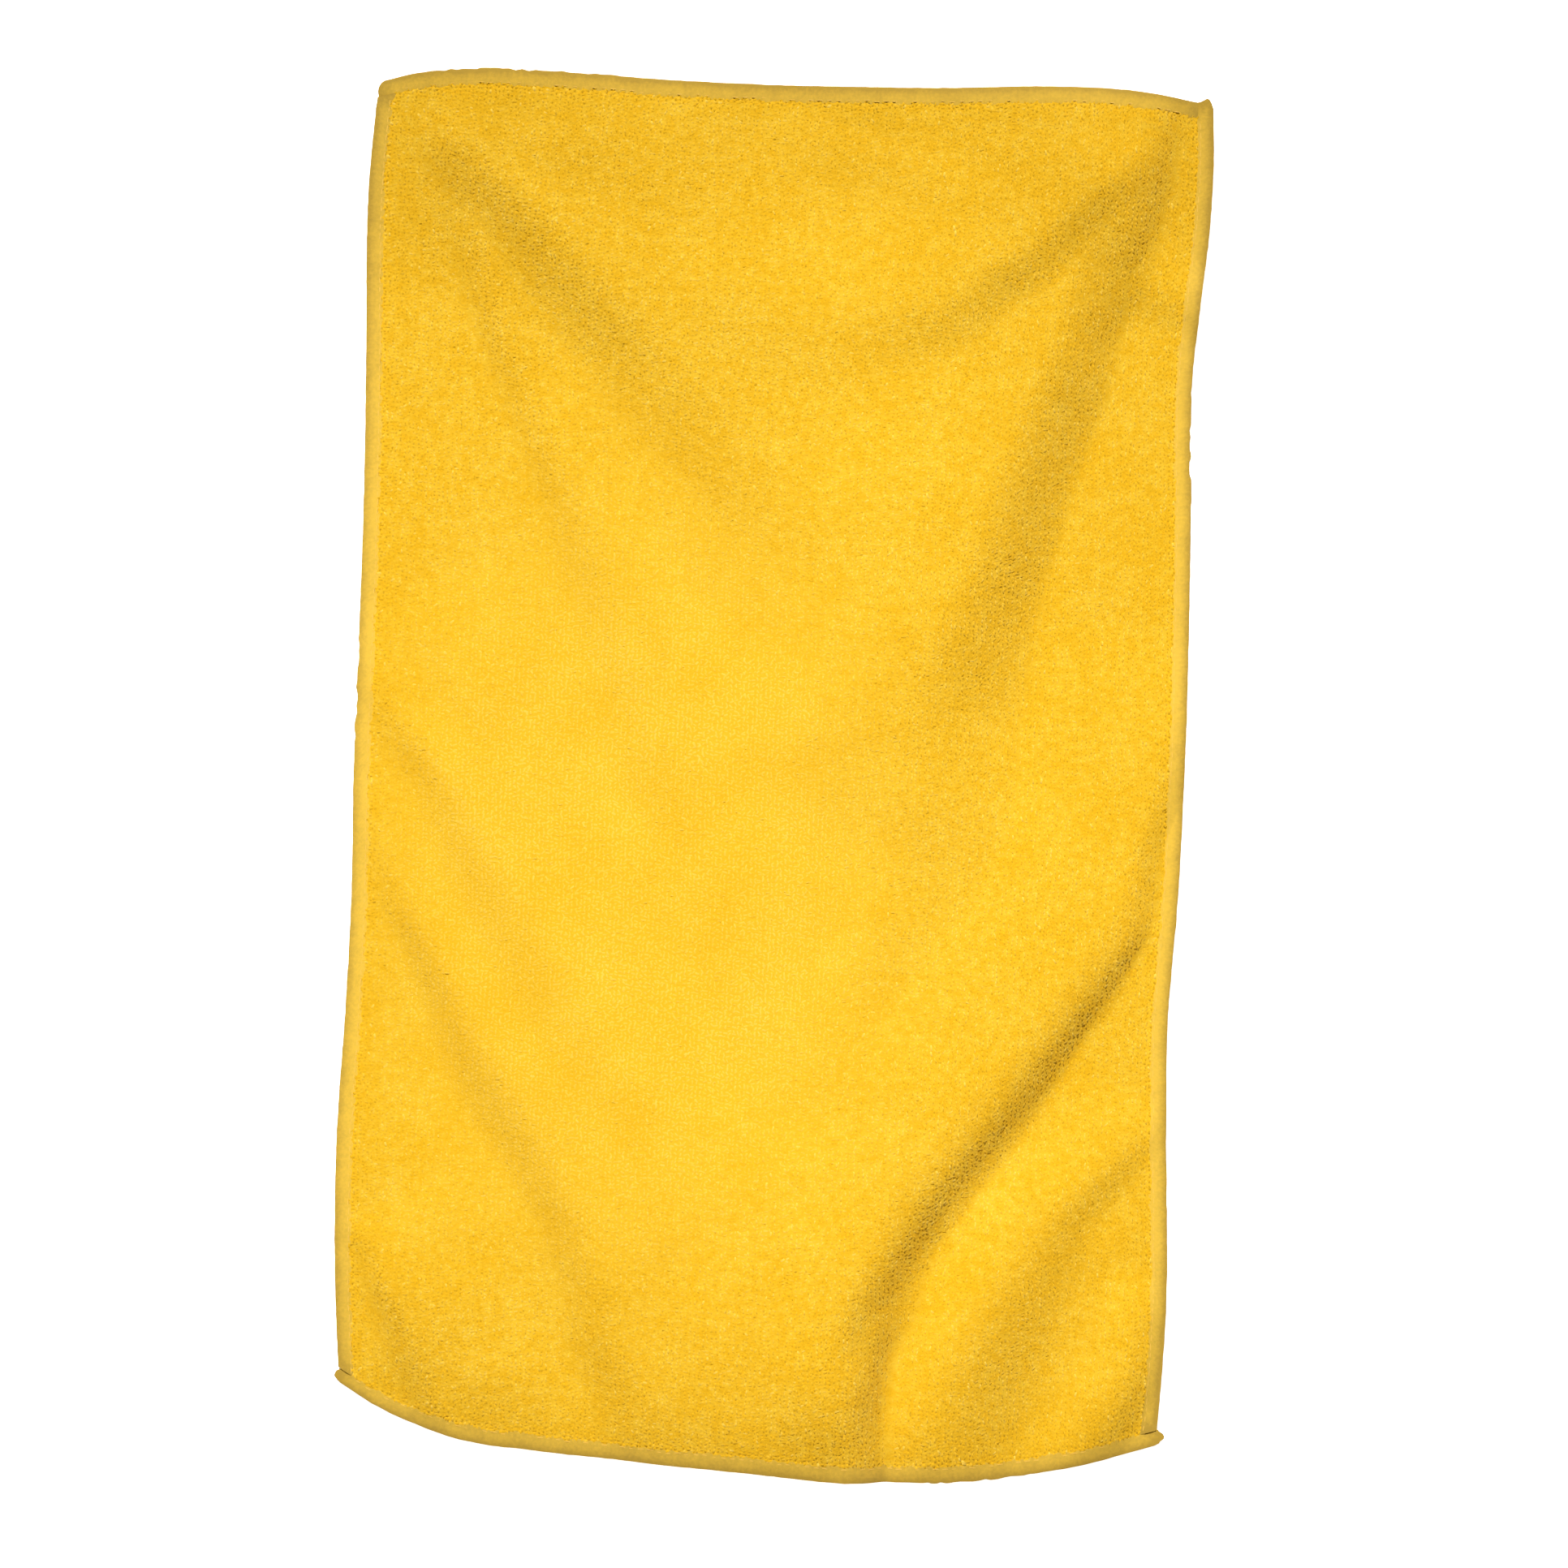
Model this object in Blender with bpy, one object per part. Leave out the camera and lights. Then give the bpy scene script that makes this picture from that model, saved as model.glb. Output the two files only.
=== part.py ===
"""Rally towel: one terry cloth, serged with thread on its four sides, lying in loose folds.

Metres, +Z up. X runs across the towel and +Y towards its top edge. The surface that it lies
on is Z = 0, and the origin is the middle of the towel on that surface. The tables are in
millimetres.
"""

import math
from collections import namedtuple

import bmesh
import bpy
import numpy as np

MM = 0.001
NAME = "Rally_towel"

# The rectangle that the four edge tables depart from, and the size of a cell of the cloth.
WIDTH = 268.0
LENGTH = 444.0
CELL = 10.0

# The terry with its pile, and the serged edging that grips its rim with a small clearance.
CLOTH_THICK = 2.4
EDGING_WIDTH = 5.0
EDGING_THICK = 2.9
THREAD_WALL = 0.6
GAP = 0.3
SLOT_END = 1.2
NOSE_STEPS = 4
RIM_INSET = SLOT_END + GAP
RIM_RISE = THREAD_WALL + GAP
RIM_THICK = EDGING_THICK - 2 * RIM_RISE
BUTT_INSET = EDGING_WIDTH + GAP
FULL_PILE_INSET = 9.5

# Thread tails that stand out past a corner, drawn in towards their tips.
TAIL_REACH = 2.0
TAIL_SHRINK = 0.5

# Below this height the cloth has settled flat on the surface.
SETTLE = 0.25
LEAST_FALL = 3.0
LEAST_RISE = 6.0

# Facets that meet at less than this are shaded as one smooth surface.
SMOOTH_BELOW = math.radians(40)

# Rows of (place along the edge, how far the edge stands outside the rectangle there).
TOP_EDGE = (
    (-134, -1.0), (-122, 1.9), (-105, 3.3), (-75, 3.3), (-35, 2.3), (15, 2.0), (50, 1.9),
    (82, 3.3), (108, 3.4), (134, 0.2),
)
BOTTOM_EDGE = (
    (-134, -22.6), (-122, -15.4), (-108, -9.5), (-92, -5.2), (-70, -2.9), (-35, -0.6),
    (5, 1.6), (30, 3.5), (58, 3.4), (90, 0.8), (112, -3.8), (134, -10.3),
)
LEFT_EDGE = (
    (-222, -0.3), (-190, 1.9), (-135, 2.9), (-95, 1.5), (-55, 0.7), (-12, 1.2), (30, 0.9),
    (80, 0.7), (130, 1.4), (185, 2.2), (222, -0.2),
)
RIGHT_EDGE = (
    (-222, -2.6), (-178, -0.7), (-115, -2.5), (-84, -3.1), (-40, -1.0), (30, -0.1),
    (80, -0.6), (130, -1.7), (155, 0.1), (180, 2.4), (202, 3.0), (222, 2.3),
)

# A fold's crest is rows of (x, y, height, fall, rise). The cloth falls steeply to the right of
# the way that the crest runs, within fall, and gently to its left, within rise. A crisp of 1
# ends the steep side in a sharp crease, and 0 in a soft one.
Fold = namedtuple("Fold", "name crest crisp")
FOLDS = (
    Fold("low_right", (
        (10, -288, 4.3, 18, 104), (25, -236, 8.9, 18, 162), (27, -214, 8.5, 18, 165),
        (28, -198, 8.2, 16, 168), (28, -179, 7.8, 18, 163), (30, -162, 7.6, 24, 157),
        (37, -143, 7.6, 22, 154), (50, -124, 7.2, 22, 155), (64, -104, 7.0, 22, 152),
        (77, -88, 6.6, 19, 162), (91, -71, 6.2, 15, 164), (104, -53, 5.3, 14, 152),
        (112, -39, 4.6, 14, 133), (118, -17, 3.5, 11, 87), (125, 13, 2.5, 14, 70),
        (135, 61, 0.0, 18, 71),
    ), crisp=0.70),
    Fold("foot_right", (
        (56, -268, 3.2, 32, 53), (59, -224, 5.2, 33, 27), (61, -202, 5.8, 31, 23),
        (67, -182, 6.0, 30, 25), (77, -161, 5.1, 28, 30), (88, -146, 4.0, 21, 34),
        (98, -133, 3.1, 15, 30), (110, -122, 2.3, 13, 30), (122, -109, 1.3, 13, 34),
        (132, -96, 0.0, 11, 44),
    ), crisp=0.18),
    Fold("corner_low", (
        (81, -232, 0.0, 12, 17), (107, -213, 2.3, 14, 18), (116, -199, 3.9, 14, 21),
        (120, -188, 3.9, 14, 20), (123, -171, 2.7, 13, 20), (132, -154, 0.0, 12, 38),
    ), crisp=0.24),
    Fold("shin_right", (
        (100, -164, 0.0, 11, 9), (111, -149, 0.5, 9, 36), (124, -143, 0.3, 10, 20),
        (138, -134, 0.0, 10, 8),
    ), crisp=0.17),
    Fold("shoulder_right", (
        (16, -118, 0.0, 25, 36), (19, -76, 1.1, 19, 51), (31, -48, 1.8, 23, 115),
        (36, -23, 3.2, 33, 103), (39, 4, 6.5, 41, 84), (44, 34, 8.1, 38, 75),
        (53, 55, 8.9, 32, 88), (60, 74, 9.1, 29, 107), (64, 91, 9.1, 30, 106),
        (70, 107, 8.7, 28, 110), (76, 125, 8.4, 28, 121), (83, 141, 8.1, 26, 117),
        (88, 157, 7.1, 22, 108), (94, 172, 5.6, 18, 107), (104, 186, 4.6, 16, 122),
        (110, 197, 4.2, 14, 140), (112, 213, 3.2, 13, 101), (123, 231, 0.0, 5, 40),
    ), crisp=0.60),
    Fold("collar_right", (
        (-28, 141, 0.0, 24, 25), (5, 149, 0.5, 25, 37), (33, 155, 1.8, 23, 46),
        (54, 160, 2.3, 19, 66), (65, 169, 2.7, 17, 66), (76, 175, 2.6, 16, 84),
        (88, 186, 2.5, 15, 80), (103, 198, 2.0, 12, 54), (116, 208, 0.0, 9, 27),
    ), crisp=0.27),
    Fold("nick_right", (
        (98, 171, 0.0, 14, 13), (113, 166, 0.8, 15, 20), (130, 159, 1.5, 14, 16),
        (142, 152, 2.2, 14, 38), (163, 144, 0.0, 14, 12),
    ), crisp=0.21),
    Fold("shoulder_left", (
        (-120, 216, 0.0, 12, 41), (-103, 202, 2.3, 17, 93), (-87, 190, 4.1, 19, 106),
        (-72, 176, 4.2, 23, 138), (-55, 159, 4.1, 26, 122), (-38, 143, 4.4, 30, 109),
        (-24, 127, 3.3, 34, 91), (-8, 115, 1.8, 34, 65), (15, 99, 0.0, 32, 48),
    ), crisp=0.36),
    Fold("strap_left", (
        (-107, 198, 0.0, 11, 9), (-96, 168, 2.5, 13, 50), (-90, 145, 2.9, 13, 66),
        (-81, 126, 2.6, 14, 47), (-71, 103, 2.8, 15, 29), (-61, 81, 2.6, 16, 25),
        (-52, 59, 2.4, 16, 30), (-43, 33, 2.3, 17, 38), (-33, 1, 1.3, 18, 28),
        (-16, -24, 0.0, 16, 14),
    ), crisp=0.26),
    Fold("brow_left", (
        (-124, 53, 0.0, 10, 24), (-109, 42, 0.4, 10, 56), (-98, 26, 0.6, 12, 49),
        (-84, 10, 0.0, 11, 13),
    ), crisp=0.10),
    Fold("waist_left", (
        (-156, 54, 0.0, 11, 35), (-133, 32, 0.9, 11, 99), (-119, 16, 1.7, 12, 99),
        (-107, 4, 2.5, 14, 98), (-96, -11, 3.0, 18, 99), (-84, -30, 3.3, 21, 104),
        (-71, -49, 3.2, 23, 114), (-58, -70, 2.4, 23, 118), (-43, -92, 1.0, 20, 93),
        (-26, -116, 0.0, 20, 30),
    ), crisp=0.32),
    Fold("hip_left", (
        (-145, 13, 0.0, 12, 41), (-126, -18, 1.2, 12, 72), (-114, -41, 2.3, 14, 76),
        (-107, -54, 3.1, 13, 76), (-98, -71, 3.8, 14, 88), (-89, -89, 3.7, 16, 105),
        (-75, -107, 3.4, 19, 106), (-64, -124, 3.1, 18, 96), (-55, -143, 3.2, 16, 97),
        (-48, -162, 3.5, 17, 132), (-43, -180, 3.6, 18, 150), (-34, -196, 2.9, 19, 145),
        (-26, -222, 2.0, 19, 126), (-10, -272, 3.0, 18, 72),
    ), crisp=0.36),
    Fold("foot_left", (
        (-134, -143, 0.0, 9, 46), (-122, -155, 1.4, 9, 38), (-118, -167, 2.2, 9, 42),
        (-110, -180, 2.3, 12, 54), (-104, -194, 2.2, 12, 70), (-99, -206, 2.9, 13, 69),
        (-89, -230, 2.3, 12, 78), (-74, -268, 0.0, 12, 20),
    ), crisp=0.20),
    Fold("belly_crease", (
        (10, -132, 0.0, 17, 33), (20, -154, 1.1, 20, 58), (22, -175, 2.0, 23, 20),
        (24, -197, 2.3, 23, 14), (33, -224, 0.0, 18, 8),
    ), crisp=0.27),
    Fold("foot_drop", (
        (-148, -184, 0.0, 24, 68), (-99, -188, 1.8, 24, 104), (-58, -194, 0.0, 25, 26),
        (2, -203, 3.8, 32, 73), (60, -204, 1.8, 30, 65), (107, -193, 0.0, 24, 44),
        (147, -184, 0.0, 25, 18),
    ), crisp=0.41),
    Fold("top_lift", (
        (-162, 242, 0.0, 103, 12), (-97, 245, 9.7, 102, 40), (-49, 241, 4.0, 108, 34),
        (-1, 246, 3.4, 103, 23), (48, 241, 7.8, 109, 34), (102, 243, 6.4, 107, 40),
        (162, 242, 0.0, 105, 12),
    ), crisp=0.13),
    Fold("top_curl", (
        (-150, 231, 0.0, 21, 8), (-91, 232, 1.2, 24, 16), (-30, 233, 0.5, 20, 16),
        (30, 231, 0.8, 22, 16), (90, 232, 1.9, 23, 16), (151, 230, 0.0, 15, 8),
    ), crisp=0.08),
)

# A low round rise of the cloth, with air under it.
Swell = namedtuple("Swell", "name x y reach_x reach_y height")
SWELLS = (
    Swell("belly", x=-32, y=-128, reach_x=185, reach_y=86, height=2.7),
)

# Where each run of edging starts and stops, as insets from the corners of its side: 0 covers
# the corner, and BUTT_INSET stops short of the run that does. A tail goes on past the corner.
Run = namedtuple("Run", "name side start_inset end_inset start_tail end_tail")
RUNS = (
    Run("overlock_top", "top", 0.0, BUTT_INSET, 0.0, 0.0),
    Run("overlock_right", "right", BUTT_INSET, 0.0, 0.0, TAIL_REACH),
    Run("overlock_bottom", "bottom", 0.0, 0.0, TAIL_REACH, TAIL_REACH),
    Run("overlock_left", "left", BUTT_INSET, BUTT_INSET, 0.0, 0.0),
)

TERRY_YELLOW = (0.93, 0.56, 0.03, 1.0)
THREAD_YELLOW = (0.86, 0.52, 0.09, 1.0)


def smooth_between(place, stations, values, level_ends=False):
    """A smooth curve through the values at the stations, read at a place, and its slope."""
    stations = np.asarray(stations, float)
    values = np.asarray(values, float)
    slopes = np.gradient(values, stations)
    if level_ends:
        slopes[0] = slopes[-1] = 0.0
    place = np.clip(place, stations[0], stations[-1])
    i = np.clip(np.searchsorted(stations, place) - 1, 0, len(stations) - 2)
    span = stations[i + 1] - stations[i]
    t = (place - stations[i]) / span
    a, b = values[i], values[i + 1]
    p, q = slopes[i] * span, slopes[i + 1] * span
    bend = 3 * (b - a) - 2 * p - q
    twist = 2 * (a - b) + p + q
    value = a + t * (p + t * (bend + t * twist))
    slope = (p + t * (2 * bend + t * 3 * twist)) / span
    return value, slope


def fold_height(fold, x, y):
    """How high one fold lifts the cloth at x, y."""
    crest = np.array(fold.crest, float)
    along = crest[-1, :2] - crest[0, :2]
    along /= np.hypot(*along)
    across = np.array((along[1], -along[0]))
    steps = crest[:, :2] - crest[0, :2]
    stations = steps @ along
    u = (x - crest[0, 0]) * along[0] + (y - crest[0, 1]) * along[1]
    v = (x - crest[0, 0]) * across[0] + (y - crest[0, 1]) * across[1]
    bow, lean = smooth_between(u, stations, steps @ across)
    height, _ = smooth_between(u, stations, crest[:, 2], level_ends=True)
    fall, _ = smooth_between(u, stations, crest[:, 3])
    rise, _ = smooth_between(u, stations, crest[:, 4])
    away = (v - bow) / np.sqrt(1 + lean * lean)
    steep = np.cos(math.pi / 2 * np.clip(away / np.maximum(fall, LEAST_FALL), 0, 1))
    gentle = np.cos(math.pi / 2 * np.clip(-away / np.maximum(rise, LEAST_RISE), 0, 1))
    profile = np.where(away > 0, steep * (fold.crisp + (1 - fold.crisp) * steep), gentle**2)
    inside = (u >= 0) & (u <= stations[-1])
    return np.maximum(height, 0) * profile * inside


def swell_height(swell, x, y):
    """How high one swell lifts the cloth at x, y."""
    reach = np.hypot((x - swell.x) / swell.reach_x, (y - swell.y) / swell.reach_y)
    return swell.height * np.cos(math.pi / 2 * np.clip(reach, 0, 1)) ** 2


def cloth_height(x, y):
    """The underside of the cloth above the surface: every fold and swell, settled to flat."""
    height = sum(fold_height(fold, x, y) for fold in FOLDS)
    height = height + sum(swell_height(swell, x, y) for swell in SWELLS)
    lifted = np.maximum(height - SETTLE, 0)
    return lifted * lifted / (lifted + SETTLE)


def cloth_place(across, along):
    """Where a place of the nominal rectangle lies on the real, uneven outline."""
    left, _ = smooth_between(along, *zip(*LEFT_EDGE))
    right, _ = smooth_between(along, *zip(*RIGHT_EDGE))
    bottom, _ = smooth_between(across, *zip(*BOTTOM_EDGE))
    top, _ = smooth_between(across, *zip(*TOP_EDGE))
    rightwards = across / WIDTH + 0.5
    upwards = along / LENGTH + 0.5
    x = across - left * (1 - rightwards) + right * rightwards
    y = along - bottom * (1 - upwards) + top * upwards
    return x, y


def grid_lines(length):
    """The cloth's grid lines across a length: two close to each edge, then even cells."""
    inner = length / 2 - FULL_PILE_INSET
    cells = round(2 * inner / CELL)
    near = [-length / 2 + RIM_INSET, -length / 2 + BUTT_INSET]
    even = [-inner + 2 * inner * i / cells for i in range(cells + 1)]
    return near + even + [-line for line in reversed(near)]


def pile_share(across, along):
    """0 on the pressed rim, and 1 where the pile stands at its full height."""
    inset = min(WIDTH / 2 - abs(across), LENGTH / 2 - abs(along))
    return min(max((inset - BUTT_INSET) / (FULL_PILE_INSET - BUTT_INSET), 0.0), 1.0)


def terry_panel():
    """The towel's cloth: a grid laid on the folds, extruded up to the height of its pile."""
    columns = grid_lines(WIDTH)
    rows = grid_lines(LENGTH)
    bm = bmesh.new()
    bmesh.ops.create_grid(bm, x_segments=len(columns) - 1, y_segments=len(rows) - 1, size=1.0)
    bmesh.ops.triangulate(bm, faces=bm.faces[:], quad_method="FIXED")
    share = {}
    for vert in bm.verts:
        across = columns[round((vert.co.x + 1) / 2 * (len(columns) - 1))]
        along = rows[round((vert.co.y + 1) / 2 * (len(rows) - 1))]
        x, y = cloth_place(across, along)
        share[vert.index] = pile_share(across, along)
        z = cloth_height(x, y) + RIM_RISE * (1 - share[vert.index])
        vert.co = (x * MM, y * MM, z * MM)
    underside = list(bm.verts)
    copied = bmesh.ops.duplicate(bm, geom=bm.verts[:] + bm.edges[:] + bm.faces[:])
    for vert in underside:
        thick = RIM_THICK + (CLOTH_THICK - RIM_THICK) * share[vert.index]
        copied["vert_map"][vert].co.z += thick * MM
    rims = [edge for edge in bm.edges if edge.is_boundary]
    bmesh.ops.bridge_loops(bm, edges=rims)
    bmesh.ops.recalc_face_normals(bm, faces=bm.faces[:])
    return finished("terry_panel", bm, TERRY_YELLOW, roughness=0.95)


def edging_section():
    """The serged edging's section, as (inset from the edge, height): a U round the rim."""
    half = EDGING_THICK / 2
    nose = []
    for step in range(NOSE_STEPS + 1):
        turn = math.pi * step / NOSE_STEPS
        nose.append((half - half * math.sin(turn), half - half * math.cos(turn)))
    slot_top = EDGING_THICK - THREAD_WALL
    return [
        (EDGING_WIDTH, 0.0), *nose, (EDGING_WIDTH, EDGING_THICK),
        (EDGING_WIDTH, slot_top), (SLOT_END, slot_top),
        (SLOT_END, THREAD_WALL), (EDGING_WIDTH, THREAD_WALL),
    ]


def side_place(side, station, inset):
    """A place of the rectangle, by its station along a side and its inset from that side."""
    if side == "left":
        return -WIDTH / 2 + inset, station
    if side == "right":
        return WIDTH / 2 - inset, station
    if side == "bottom":
        return station, -LENGTH / 2 + inset
    return station, LENGTH / 2 - inset


def edging_ring(side, station, past=0.0, shrink=1.0):
    """The edging's section at one station, or past the corner and drawn in for a tail."""
    middle = (EDGING_WIDTH / 2, EDGING_THICK / 2)
    ring = []
    for inset, rise in edging_section():
        inset = middle[0] + (inset - middle[0]) * shrink
        rise = middle[1] + (rise - middle[1]) * shrink
        across, along = side_place(side, station, inset)
        x, y = cloth_place(across, along)
        z = cloth_height(x, y) + rise
        if side in ("left", "right"):
            y += past
        else:
            x += past
        ring.append((x * MM, y * MM, z * MM))
    return ring


def edging_run(run):
    """One run of thread edging, lofted along a side of the towel, with its corner tails."""
    length = LENGTH if run.side in ("left", "right") else WIDTH
    start = -length / 2 + run.start_inset
    end = length / 2 - run.end_inset
    between = [line for line in grid_lines(length) if start + GAP < line < end - GAP]
    rings = [edging_ring(run.side, station) for station in [start, *between, end]]
    if run.start_tail:
        rings.insert(0, edging_ring(run.side, start, -run.start_tail, TAIL_SHRINK))
    if run.end_tail:
        rings.append(edging_ring(run.side, end, run.end_tail, TAIL_SHRINK))
    # The cloth's triangles all lean one way, and the edging's lean with them, so that the
    # clearance round the rim stays even where a fold runs off the edge.
    insets = [inset for inset, _ in edging_section()]
    leans_out = run.side in ("right", "top")
    bm = bmesh.new()
    loops = [[bm.verts.new(point) for point in ring] for ring in rings]
    for near, far in zip(loops, loops[1:]):
        for i in range(len(near)):
            j = (i + 1) % len(near)
            if (insets[i] < insets[j]) != leans_out:
                bm.faces.new((near[i], near[j], far[j]))
                bm.faces.new((near[i], far[j], far[i]))
            else:
                bm.faces.new((near[i], near[j], far[i]))
                bm.faces.new((near[j], far[j], far[i]))
    bm.faces.new(loops[0])
    bm.faces.new(loops[-1])
    bmesh.ops.recalc_face_normals(bm, faces=bm.faces[:])
    return finished(run.name, bm, THREAD_YELLOW, roughness=0.6)


def finished(name, bm, colour, roughness):
    """Turns a bmesh into an object of the towel's collection, with its own material."""
    mesh = bpy.data.meshes.new(name)
    bm.to_mesh(mesh)
    bm.free()
    mesh.shade_smooth()
    mesh.set_sharp_from_angle(angle=SMOOTH_BELOW)
    material = bpy.data.materials.new(name)
    material.use_nodes = True
    shader = material.node_tree.nodes["Principled BSDF"]
    shader.inputs["Base Color"].default_value = colour
    shader.inputs["Roughness"].default_value = roughness
    shader.inputs["Metallic"].default_value = 0.0
    mesh.materials.append(material)
    obj = bpy.data.objects.new(name, mesh)
    bpy.data.collections[NAME].objects.link(obj)
    return obj


def main():
    for obj in list(bpy.data.objects):
        bpy.data.objects.remove(obj, do_unlink=True)
    collection = bpy.data.collections.new(NAME)
    bpy.context.scene.collection.children.link(collection)
    terry_panel()
    for run in RUNS:
        edging_run(run)


main()
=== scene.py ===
"""The looks of the rally towel: a terry ground, its standing loops, the serged thread edging
round it, and the white table and soft light that it lies in.

Metres, +Z up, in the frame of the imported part: X runs across the towel, +Y towards its top
edge, and the table is Z = 0. The tables and the functions that lay the cloth out are in
millimetres, and they are the part's own.
"""

import math
from collections import namedtuple

import bpy
import numpy as np
from mathutils import Matrix, Vector


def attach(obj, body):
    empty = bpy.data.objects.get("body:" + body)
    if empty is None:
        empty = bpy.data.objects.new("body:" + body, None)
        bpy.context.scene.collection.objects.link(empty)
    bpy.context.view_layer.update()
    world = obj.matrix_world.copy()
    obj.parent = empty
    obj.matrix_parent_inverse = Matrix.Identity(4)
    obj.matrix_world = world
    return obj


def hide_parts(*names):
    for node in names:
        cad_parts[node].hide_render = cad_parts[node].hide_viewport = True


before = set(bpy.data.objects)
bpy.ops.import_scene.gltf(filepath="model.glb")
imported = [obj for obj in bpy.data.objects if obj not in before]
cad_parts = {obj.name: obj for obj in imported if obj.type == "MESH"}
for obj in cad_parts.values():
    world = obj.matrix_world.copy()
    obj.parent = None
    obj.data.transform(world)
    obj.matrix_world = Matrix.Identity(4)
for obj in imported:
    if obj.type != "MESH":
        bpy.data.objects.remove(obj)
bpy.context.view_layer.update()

MM = 0.001

# ---------------------------------------------------------------------------------------
# The cloth as the part lays it out
# ---------------------------------------------------------------------------------------

WIDTH = 268.0
LENGTH = 444.0
EDGING_WIDTH = 5.0
BUTT_INSET = 5.3

# A lift much smaller than this settles flat, and no fold is narrower than these.
SETTLE = 0.25
LEAST_FALL = 3.0
LEAST_RISE = 6.0

# Rows of (place along the edge, how far the edge stands outside the rectangle there).
TOP_EDGE = (
    (-134, -1.0), (-122, 1.9), (-105, 3.3), (-75, 3.3), (-35, 2.3), (15, 2.0), (50, 1.9),
    (82, 3.3), (108, 3.4), (134, 0.2),
)
BOTTOM_EDGE = (
    (-134, -22.6), (-122, -15.4), (-108, -9.5), (-92, -5.2), (-70, -2.9), (-35, -0.6),
    (5, 1.6), (30, 3.5), (58, 3.4), (90, 0.8), (112, -3.8), (134, -10.3),
)
LEFT_EDGE = (
    (-222, -0.3), (-190, 1.9), (-135, 2.9), (-95, 1.5), (-55, 0.7), (-12, 1.2), (30, 0.9),
    (80, 0.7), (130, 1.4), (185, 2.2), (222, -0.2),
)
RIGHT_EDGE = (
    (-222, -2.6), (-178, -0.7), (-115, -2.5), (-84, -3.1), (-40, -1.0), (30, -0.1),
    (80, -0.6), (130, -1.7), (155, 0.1), (180, 2.4), (202, 3.0), (222, 2.3),
)

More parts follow.
